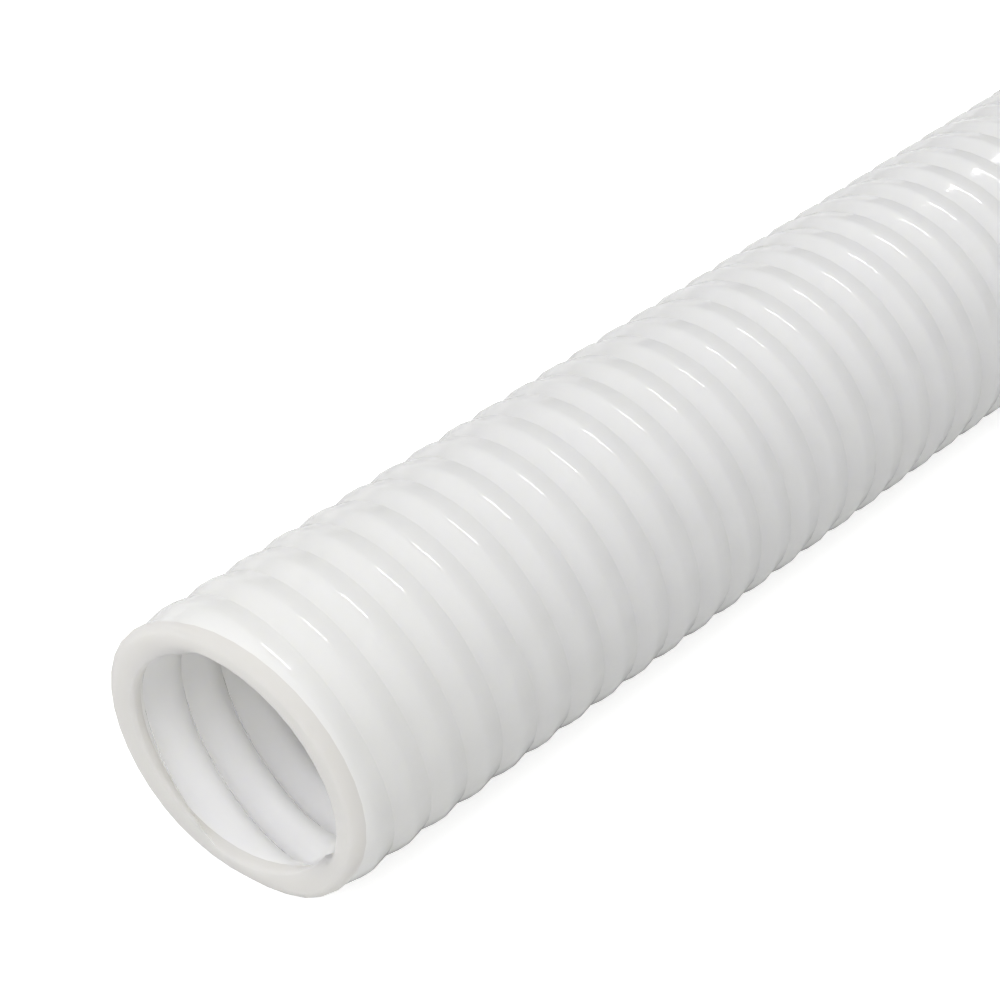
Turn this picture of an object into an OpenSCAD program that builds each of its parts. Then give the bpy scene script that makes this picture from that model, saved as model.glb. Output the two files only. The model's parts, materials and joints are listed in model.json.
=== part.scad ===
// Corrugated conduit: one straight cut length of thick-walled, pliable plastic tube.
// The wall is a row of round-backed waves, outside and inside at the same pitch.
// Frame: the tube lies along X on the floor, which is Z = 0.
// The origin is under the middle of the tube.
// The far end is cut square. The near end, at the lowest X, is cut by hand and leans a little.

/* [Length] */
// Length from the tip of the near end to the far end
length = 1000; // [100:5:1500]

/* [Near end] */
// Angle between the near cut and a square one
near_cut_angle = 11.3; // [0:0.1:20]
// How far round the shortest place of the near cut lies, from the -Y side towards the top
near_cut_turn = 27.5; // [-180:0.5:180]

/* [Diameters] */
// Outside diameter, over the crests of the waves
outer_d = 32; // [30:0.5:40]
// Clear inside diameter, between the crests of the inner waves
bore_d = 24.3; // [18:0.1:26]

/* [Waves] */
// Distance from one crest to the next along the tube
pitch = 4.6; // [3.5:0.1:8]
// Depth of the sharp groove between two waves on the outside
groove_depth = 0.6; // [0.3:0.05:1.3]
// Depth of the sharp groove between two waves on the inside
inner_groove_depth = 1.3; // [0.5:0.05:1.5]
// Width of the straight land on the crest of each inner wave
land_w = 0.5; // [0.2:0.1:1]

/* [Hidden] */
$fn = 96;

outer_r = outer_d / 2;
bore_r = bore_d / 2;
// Radius of the arc whose chord and rise are a wave's width and a groove's depth
function wave_arc_r(width, depth) = (width * width / 4 + depth * depth) / (2 * depth);
crest_arc_r = wave_arc_r(pitch, groove_depth);
inner_arc_r = wave_arc_r(pitch - land_w, inner_groove_depth);
// Waves needed to cover the length; the first and the last are trimmed alike
waves = ceil(length / pitch);

// Outer back of one wave, as the disc that its arc is part of
module crest_disc() {
    translate([outer_r - crest_arc_r, 0]) circle(crest_arc_r);
}

// Inner back of one wave: two arcs, parted by the land
module inner_disc() {
    for (side = [-1, 1])
        translate([bore_r + inner_arc_r, side * land_w / 2]) circle(inner_arc_r);
    translate([bore_r, -land_w / 2]) square([inner_arc_r, land_w]);
}

// Section of the wall over one pitch: radius along X, length along Y
module wave_section() {
    intersection() {
        crest_disc();
        inner_disc();
        translate([bore_r, -pitch / 2]) square([outer_r - bore_r, pitch]);
    }
}

// Section of the whole wall, as long as the tube
module wall_section() {
    intersection() {
        for (i = [0 : waves - 1])
            translate([0, (i - (waves - 1) / 2) * pitch]) wave_section();
        translate([0, -length / 2]) square([outer_d, length]);
    }
}

// Distance from the tube's near tip to where the near cut crosses its middle line
near_cut_back = outer_r * tan(near_cut_angle);

// What the knife takes off at the near end
module near_offcut() {
    translate([near_cut_back - length / 2, 0, outer_r])
    rotate([-near_cut_turn, 0, 0])
    rotate([0, 0, near_cut_angle])
    translate([-outer_d, -outer_d, -outer_d]) cube([outer_d, 2 * outer_d, 2 * outer_d]);
}

module conduit() {
    color([0.93, 0.93, 0.91])
    difference() {
        translate([0, 0, outer_r])
        rotate([0, 90, 0])
        rotate_extrude() wall_section();
        near_offcut();
    }
}

conduit();
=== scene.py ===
import json
import math
import bmesh
import bpy
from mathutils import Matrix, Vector


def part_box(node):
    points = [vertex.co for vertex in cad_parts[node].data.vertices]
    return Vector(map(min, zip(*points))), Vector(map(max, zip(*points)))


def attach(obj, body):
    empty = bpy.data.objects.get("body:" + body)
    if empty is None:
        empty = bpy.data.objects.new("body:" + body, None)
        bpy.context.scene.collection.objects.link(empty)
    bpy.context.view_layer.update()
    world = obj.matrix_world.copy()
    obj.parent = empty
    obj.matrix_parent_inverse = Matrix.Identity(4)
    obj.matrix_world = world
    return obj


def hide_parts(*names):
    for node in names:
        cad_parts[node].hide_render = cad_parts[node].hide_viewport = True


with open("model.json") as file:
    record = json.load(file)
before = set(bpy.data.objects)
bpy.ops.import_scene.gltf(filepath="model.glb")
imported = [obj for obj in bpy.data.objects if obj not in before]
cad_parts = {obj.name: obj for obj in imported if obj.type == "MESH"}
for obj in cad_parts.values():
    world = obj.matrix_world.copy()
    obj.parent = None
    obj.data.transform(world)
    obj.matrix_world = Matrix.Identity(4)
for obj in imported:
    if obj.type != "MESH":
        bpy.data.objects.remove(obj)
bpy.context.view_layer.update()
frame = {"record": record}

MM = 0.001
FULL_TURN = 2 * math.pi
SENSOR_WIDTH = 36
WHITE = (1, 1, 1, 1)

# ---------------------------------------------------------------- conduit sizes
conduit_low, conduit_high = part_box("conduit")
mounts = {mount["name"]: mount for mount in frame["record"]["mounts"]}
bore_radius = mounts["bore"]["dims"]["r_mm"] * MM

conduit_length = conduit_high.x - conduit_low.x
# The mesh stays this far inside the solid's box
box_clearance = 0.005 * MM
outer_radius = (conduit_high.z - conduit_low.z) / 2 - box_clearance
axis_height = (conduit_high.z + conduit_low.z) / 2
axis_line = Vector((0, 0, axis_height))
axis_along = Vector((1, 0, 0))

# Outer wave: two straight flanks and a rounded crest
wave_pitch = 4.6 * MM
outer_groove_depth = 0.42 * MM
outer_crest_radius = 2.2 * MM
outer_flank_slope = math.radians(11.5)
# Inner wave: a hollow, a long near flank, a rounded crest and a steep far flank
inner_groove_depth = 1.0 * MM
# Where the crest lies in a wave, and how far the inner grooves are ahead of the outer, in pitches
inner_crest_at = 0.70
inner_groove_lead = -0.17
inner_crest_radius = 2.0 * MM
inner_near_slope = math.radians(22)
inner_far_turn = math.radians(30)
inner_hollow_width = 0.6 * MM
inner_hollow_rise = 0.1 * MM

# How finely the wave is stepped
outer_arc_steps = 3
inner_arc_steps = 3
steps_a_turn = 40
spare_turns = 3

# The near end is cut aslant: how much its plane leans to the side and up for each step along
cut_lean_side = 0.177
cut_lean_up = 0.092
cut_centre_back = 0.2 * outer_radius
groove_after_cut = 2.74 * MM

# Between this radius and the bore the surface counts as the inside
wall_middle = (outer_radius + bore_radius + inner_groove_depth) / 2

weld_distance = 0.01 * MM
cut_tolerance = weld_distance / 10
crease_angle = math.radians(18)
# The two edges of the wall are rolled over at a cut: how far along, and how far across the wall
outer_roll_along = 1.7 * MM
outer_roll_across = 1.2 * MM
inner_roll_along = 0.4 * MM
inner_roll_across = 0.3 * MM
# Depths at which the roll has a ring of vertices, as shares of the outer edge's roll
roll_rings = (0.02, 0.06, 0.12, 0.22, 0.38, 0.62, 1.0)
# The cut's rougher finish, whose colour is painted darker as shade, reaches to the last ring but one
cut_finish_and_shade_depth = roll_rings[-2] * outer_roll_along + weld_distance

near_end = Vector((conduit_low.x, 0, axis_height))
cut_centre = Vector((conduit_low.x + cut_centre_back, 0, axis_height))
far_centre = Vector((conduit_high.x, 0, axis_height))
near_inward = Vector((1, cut_lean_side, -cut_lean_up)).normalized()
# Each end's cut: a point in its plane, and the direction into the conduit
end_cuts = ((cut_centre, near_inward), (far_centre, -axis_along))

# ---------------------------------------------------------------- camera
camera_from_cut = Vector((-67.1, -109.8, 158.3)) * MM
camera_looks_along = Vector((0.488, 0.5235, -0.6986))
camera_lens = 76.4
camera_clip = (0.01, 50)

camera_data = bpy.data.cameras.new("camera")
camera_data.lens = camera_lens
camera_data.sensor_width = SENSOR_WIDTH
camera_data.clip_start, camera_data.clip_end = camera_clip
camera = bpy.data.objects.new("camera", camera_data)
camera.location = cut_centre + camera_from_cut
camera.rotation_mode = "QUATERNION"
camera.rotation_quaternion = camera_looks_along.to_track_quat("-Z", "Y")
bpy.context.scene.collection.objects.link(camera)
bpy.context.scene.camera = camera


# ---------------------------------------------------------------- material helpers
# Sockets of the Mix node when it mixes colours
MIX_FACTOR, MIX_FIRST, MIX_SECOND, MIX_RESULT = 0, 6, 7, 2
# Most of a noise's values lie between these
noise_low, noise_high = 0.3, 0.7

pvc_ior = 1.5
pvc_light_depth = 6 * MM
pvc_light_tint = (1.0, 1.0, 0.92)
cloud_scale = 55
patch_scale = 140
line_scale, line_stretch = 90, (22, 1, 1)
dent_scale, dent_strength, dent_depth = 260, 0.35, 0.12 * MM
line_strength, line_depth = 0.12, 0.05 * MM
grain_scale, grain_depth = 2600, 0.02 * MM


def add_node(tree, kind, **inputs):
    """One shader node with its named inputs set."""
    node = tree.nodes.new(kind)
    for name, value in inputs.items():
        node.inputs[name.replace("_", " ")].default_value = value
    return node


def noise_on(tree, coordinates, scale, detail, stretch=(1, 1, 1)):
    """A noise on the object's own coordinates, finer along the axes that stretch names."""
    mapping = tree.nodes.new("ShaderNodeMapping")
    mapping.inputs["Scale"].default_value = stretch
    tree.links.new(coordinates, mapping.inputs["Vector"])
    noise = add_node(tree, "ShaderNodeTexNoise", Scale=scale, Detail=detail)
    tree.links.new(mapping.outputs["Vector"], noise.inputs["Vector"])
    return noise.outputs["Fac"]


def range_of(tree, value, low, high):
    """The middle of a noise spread over a range."""
    spread = add_node(
        tree, "ShaderNodeMapRange", From_Min=noise_low, From_Max=noise_high, To_Min=low, To_Max=high
    )
    tree.links.new(value, spread.inputs["Value"])
    return spread.outputs["Result"]


def mix_colours(tree, factor, first, second):
    """A colour between two, by a factor."""
    mix = tree.nodes.new("ShaderNodeMix")
    mix.data_type = "RGBA"
    mix.inputs[MIX_FIRST].default_value = first
    mix.inputs[MIX_SECOND].default_value = second
    tree.links.new(factor, mix.inputs[MIX_FACTOR])
    return mix.outputs[MIX_RESULT]


def bump_of(tree, height, strength, distance, under=None):
    """A bump from a height, over another bump if one is given."""
    bump = add_node(tree, "ShaderNodeBump", Strength=strength, Distance=distance)
    tree.links.new(height, bump.inputs["Height"])
    if under is not None:
        tree.links.new(under, bump.inputs["Normal"])
    return bump.outputs["Normal"]


def white_pvc(name, roughness_low, roughness_high, grain_strength, light_shade, deep_shade):
    """Pliable white PVC, which lets a little light into its wall."""
    material = bpy.data.materials.new(name)
    material.use_nodes = True
    tree = material.node_tree
    shader = tree.nodes["Principled BSDF"]
    coordinates = tree.nodes.new("ShaderNodeTexCoord").outputs["Object"]

    clouds = range_of(tree, noise_on(tree, coordinates, cloud_scale, 3), 0, 1)
    tree.links.new(mix_colours(tree, clouds, light_shade, deep_shade), shader.inputs["Base Color"])
    patches = noise_on(tree, coordinates, patch_scale, 4)
    tree.links.new(range_of(tree, patches, roughness_low, roughness_high), shader.inputs["Roughness"])

    dent_height = noise_on(tree, coordinates, dent_scale, 2)
    line_height = noise_on(tree, coordinates, line_scale, 2, stretch=line_stretch)
    grain_height = noise_on(tree, coordinates, grain_scale, 3)
    dents = bump_of(tree, dent_height, dent_strength, dent_depth)
    lines = bump_of(tree, line_height, line_strength, line_depth, under=dents)
    grain = bump_of(tree, grain_height, grain_strength, grain_depth, under=lines)
    tree.links.new(grain, shader.inputs["Normal"])

    shader.inputs["IOR"].default_value = pvc_ior
    shader.inputs["Subsurface Weight"].default_value = 1.0
    shader.inputs["Subsurface Radius"].default_value = pvc_light_tint
    shader.inputs["Subsurface Scale"].default_value = pvc_light_depth
    return material


drawn_skin = white_pvc(
    "drawn_pvc_skin",
    roughness_low=0.07,
    roughness_high=0.13,
    grain_strength=0.25,
    light_shade=(0.915, 0.913, 0.885, 1),
    deep_shade=(0.885, 0.885, 0.855, 1),
)
# The cut face's colour is painted darker than the skin, as shade on the end face; its rougher finish is the
# knife cut's own.
cut_pvc_painted_shade = white_pvc(
    "knife_cut_pvc_painted_shade",
    roughness_low=0.34,
    roughness_high=0.5,
    grain_strength=0.6,
    light_shade=(0.74, 0.725, 0.70, 1),
    deep_shade=(0.71, 0.695, 0.67, 1),
)
# The bore's colour is painted lighter than the skin, as light falling into the bore.
bore_pvc_painted_light = white_pvc(
    "bore_pvc_painted_lit",
    roughness_low=0.1,
    roughness_high=0.18,
    grain_strength=0.2,
    light_shade=(0.965, 0.955, 0.93, 1),
    deep_shade=(0.945, 0.935, 0.91, 1),
)


# ---------------------------------------------------------------- conduit mesh
# The drawn skin, the cut with its colour painted darker as shade, and the bore with its colour painted
# lighter as light.
conduit_materials = (drawn_skin, cut_pvc_painted_shade, bore_pvc_painted_light)


def at_front(along, radius):
    """The point on the -Y side of the tube at a distance along it and a radius."""
    return Vector((along, -radius, axis_height))


def arc_from(bm, start, centre, angle, steps):
    """Spins a vertex into an arc in the plane of the wall's section, and gives its last vertex."""
    made = bmesh.ops.spin(
        bm, geom=[start], cent=centre, axis=(0, 0, 1), angle=angle, steps=steps, use_duplicate=False
    )
    return [part for part in made["geom_last"] if isinstance(part, bmesh.types.BMVert)][0]


def line_to(bm, start, point):
    """Draws a straight edge from a vertex to a point, and gives the new vertex."""
    end = bmesh.ops.extrude_vert_indiv(bm, verts=[start])["verts"][0]
    end.co = point
    return end


def outer_wave(bm, along):
    """The outer back of one wave: two straight flanks with a rounded crest between them."""
    middle = along + wave_pitch / 2
    arc_half_width = outer_crest_radius * math.sin(outer_flank_slope)
    arc_foot = outer_radius - outer_crest_radius * (1 - math.cos(outer_flank_slope))
    groove = bm.verts.new(at_front(along, outer_radius - outer_groove_depth))
    near_foot = line_to(bm, groove, at_front(middle - arc_half_width, arc_foot))
    arc_centre = at_front(middle, outer_radius - outer_crest_radius)
    far_foot = arc_from(bm, near_foot, arc_centre, 2 * outer_flank_slope, outer_arc_steps)
    line_to(bm, far_foot, at_front(along + wave_pitch, outer_radius - outer_groove_depth))


def inner_wave(bm, along):
    """The inner back of one wave: a long near flank, a rounded crest and a steep far flank."""
    hollow = bore_radius + inner_groove_depth
    crest_middle = along + inner_crest_at * wave_pitch
    arc_half_width = inner_crest_radius * math.sin(inner_near_slope)
    arc_foot = bore_radius + inner_crest_radius * (1 - math.cos(inner_near_slope))
    hollow_start = bm.verts.new(at_front(along, hollow))
    hollow_end = line_to(bm, hollow_start, at_front(along + inner_hollow_width, hollow - inner_hollow_rise))
    near_foot = line_to(bm, hollow_end, at_front(crest_middle - arc_half_width, arc_foot))
    arc_centre = at_front(crest_middle, bore_radius + inner_crest_radius)
    far_foot = arc_from(
        bm, near_foot, arc_centre, -inner_near_slope - inner_far_turn, inner_arc_steps
    )
    line_to(bm, far_foot, at_front(along + wave_pitch, hollow))


def wind_along(bm, turns):
    """Winds the section round the tube as a right-handed screw, one pitch a turn, then repeats the turn."""
    bmesh.ops.spin(
        bm,
        geom=bm.verts[:] + bm.edges[:],
        cent=axis_line,
        axis=axis_along,
        dvec=axis_along * wave_pitch / steps_a_turn,
        angle=FULL_TURN,
        steps=steps_a_turn,
        use_duplicate=False,
    )
    wound = 1
    while wound < turns:
        copied = bmesh.ops.duplicate(bm, geom=bm.verts[:] + bm.edges[:] + bm.faces[:])["geom"]
        points = [part for part in copied if isinstance(part, bmesh.types.BMVert)]
        bmesh.ops.translate(bm, verts=points, vec=axis_along * wave_pitch * wound)
        wound *= 2
    bmesh.ops.remove_doubles(bm, verts=bm.verts[:], dist=weld_distance)


def cut_off(bm, point, keep_direction):
    """Cuts the tube through a point, and keeps what lies in the given direction."""
    bmesh.ops.bisect_plane(
        bm,
        geom=bm.verts[:] + bm.edges[:] + bm.faces[:],
        dist=cut_tolerance,
        plane_co=point,
        plane_no=keep_direction,
        clear_inner=True,
    )


def roll_rim(bm, point, inward):
    """Rolls the two edges of the wall over at a cut."""
    for ring in roll_rings:
        bmesh.ops.bisect_plane(
            bm,
            geom=bm.verts[:] + bm.edges[:] + bm.faces[:],
            dist=cut_tolerance,
            plane_co=point + inward * outer_roll_along * ring,
            plane_no=inward,
        )
    for vert in bm.verts:
        radial = Vector((0, vert.co.y, vert.co.z - axis_height))
        if radial.length > wall_middle:
            along, across = outer_roll_along, -outer_roll_across
        else:
            along, across = inner_roll_along, inner_roll_across
        to_edge = 1 - max((vert.co - point).dot(inward), 0) / along
        if to_edge > 0:
            outward = (radial - inward * radial.dot(inward)).normalized()
            vert.co += outward * across * (1 - math.sqrt(1 - to_edge ** 2))


def finish_and_shade_rim(bm, point, inward):
    """Gives the faces that lie near a cut the cut's rougher finish, with its colour painted darker as
    shade.
    """
    for face in bm.faces:
        if max((vert.co - point).dot(inward) for vert in face.verts) < cut_finish_and_shade_depth:
            face.material_index = conduit_materials.index(cut_pvc_painted_shade)


def close_wall(bm, near):
    """Fills the wall's thickness across the cut at one end, and gives the new faces."""
    rim = [edge for edge in bm.edges if edge.is_boundary and (edge.verts[0].co.x < 0) == near]
    filled = bmesh.ops.triangle_fill(bm, edges=rim, use_beauty=True, use_dissolve=False)["geom"]
    return [part for part in filled if isinstance(part, bmesh.types.BMFace)]


def conduit_mesh():
    """The whole wall as one closed mesh: wound, cut at both ends, rolled over there and closed."""
    bm = bmesh.new()
    turns = math.ceil(conduit_length / wave_pitch) + 2 * spare_turns
    first_groove = cut_centre.x + groove_after_cut - spare_turns * wave_pitch
    outer_wave(bm, first_groove)
    inner_wave(bm, first_groove + inner_groove_lead * wave_pitch)
    wind_along(bm, turns)

    for centre, inward in end_cuts:
        cut_off(bm, centre, inward)
        roll_rim(bm, centre, inward)
    bmesh.ops.remove_doubles(bm, verts=bm.verts[:], dist=weld_distance)
    end_faces = close_wall(bm, near=True) + close_wall(bm, near=False)
    bmesh.ops.recalc_face_normals(bm, faces=bm.faces[:])

    for face in bm.faces:
        face.smooth = True
        # Faces inside the wall get the bore's colour, painted lighter as light in the bore.
        if (face.calc_center_median() - axis_line).yz.length < wall_middle:
            face.material_index = conduit_materials.index(bore_pvc_painted_light)
    for face in end_faces:
        face.smooth = False
    # Faces near each cut get the cut's colour, painted darker as shade.
    for centre, inward in end_cuts:
        finish_and_shade_rim(bm, centre, inward)
    for edge in bm.edges:
        edge.smooth = edge.calc_face_angle(0) < crease_angle

    mesh = bpy.data.meshes.new("corrugated_conduit")
    bm.to_mesh(mesh)
    bm.free()
    for material in conduit_materials:
        mesh.materials.append(material)
    return mesh


corrugated_conduit = bpy.data.objects.new("corrugated_conduit", conduit_mesh())
bpy.context.scene.collection.objects.link(corrugated_conduit)
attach(corrugated_conduit, "root")
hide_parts("conduit")


# ---------------------------------------------------------------- floor and light
floor_size = 12
floor_drop = 0.05 * MM
floor_colour = (0.75, 0.75, 0.75, 1)
floor_roughness = 0.9
# What the floor adds to its shade where it is seen, which brings it to white
floor_lift = 0.7
room_level = 0.21

soft_sun_angle = math.radians(40)
soft_sun_distance = 2
tube_distance = 3
tube_width = 1.2
tube_height = 0.2
tube_power = 11


def floor_material():
    """A white floor that keeps the conduit's shadow and is lifted to white in the picture."""
    material = bpy.data.materials.new("white_floor")
    material.use_nodes = True
    tree = material.node_tree
    shader = tree.nodes["Principled BSDF"]
    shader.inputs["Base Color"].default_value = floor_colour
    shader.inputs["Roughness"].default_value = floor_roughness
    shader.inputs["Specular IOR Level"].default_value = 0
    shader.inputs["Emission Color"].default_value = WHITE
    path = tree.nodes.new("ShaderNodeLightPath")
    seen = tree.nodes.new("ShaderNodeMath")
    seen.operation = "MAXIMUM"
    tree.links.new(path.outputs["Is Camera Ray"], seen.inputs[0])
    tree.links.new(path.outputs["Is Transmission Ray"], seen.inputs[1])
    lift = tree.nodes.new("ShaderNodeMath")
    lift.operation = "MULTIPLY"
    lift.inputs[1].default_value = floor_lift
    tree.links.new(seen.outputs[0], lift.inputs[0])
    tree.links.new(lift.outputs[0], shader.inputs["Emission Strength"])
    return material


floor_mesh = bpy.data.meshes.new("floor")
floor_bm = bmesh.new()
bmesh.ops.create_grid(floor_bm, x_segments=1, y_segments=1, size=floor_size / 2)
bmesh.ops.translate(floor_bm, verts=floor_bm.verts[:], vec=(0, 0, -floor_drop))
floor_bm.to_mesh(floor_mesh)
floor_bm.free()
floor_mesh.materials.append(floor_material())
floor = bpy.data.objects.new("floor", floor_mesh)
bpy.context.scene.collection.objects.link(floor)


def place_lamp(name, kind, towards, distance):
    """A lamp in a direction from the near end, turned to face it."""
    lamp_data = bpy.data.lights.new(name, kind)
    lamp = bpy.data.objects.new(name, lamp_data)
    lamp.location = near_end + towards.normalized() * distance
    lamp.rotation_mode = "QUATERNION"
    lamp.rotation_quaternion = towards.normalized().to_track_quat("Z", "Y")
    bpy.context.scene.collection.objects.link(lamp)
    return lamp


def soft_sun(name, towards, share):
    """Even light from one direction, as a share of what lights a white surface fully."""
    sun = place_lamp(name, "SUN", towards, soft_sun_distance)
    sun.visible_glossy = False
    sun.data.angle = soft_sun_angle
    sun.data.energy = math.pi * share


def tube_lamp(name, towards):
    """A long narrow lamp, which the glossy crests mirror as short bright lines."""
    tube = place_lamp(name, "AREA", towards, tube_distance).data
    tube.shape = "RECTANGLE"
    tube.size = tube_width
    tube.size_y = tube_height
    tube.energy = tube_power


soft_sun("main_light", Vector((-0.5, -0.15, 1)), 0.555)
soft_sun("opening_light", Vector((-1, 0.545, 0.839)), 0.22)
soft_sun("far_light", Vector((1, 0, 1)), 0.06)
soft_sun("side_light", Vector((0, -1, 0.6)), 0.055)
tube_lamp("overhead_tube", Vector((0.56, 0.19, 0.81)))

world = bpy.data.worlds.new("pale_room")
bpy.context.scene.world = world
world.use_nodes = True
room = world.node_tree
room_light = room.nodes["Background"]
room_light.inputs["Color"].default_value = WHITE
room_light.inputs["Strength"].default_value = room_level
room_seen = add_node(room, "ShaderNodeBackground", Color=WHITE, Strength=1.0)
room_path = room.nodes.new("ShaderNodeLightPath")
room_mix = room.nodes.new("ShaderNodeMixShader")
room.links.new(room_path.outputs["Is Camera Ray"], room_mix.inputs["Fac"])
room.links.new(room_light.outputs["Background"], room_mix.inputs[1])
room.links.new(room_seen.outputs["Background"], room_mix.inputs[2])
room.links.new(room_mix.outputs["Shader"], room.nodes["World Output"].inputs["Surface"])

bpy.context.scene.view_settings.view_transform = "Standard"
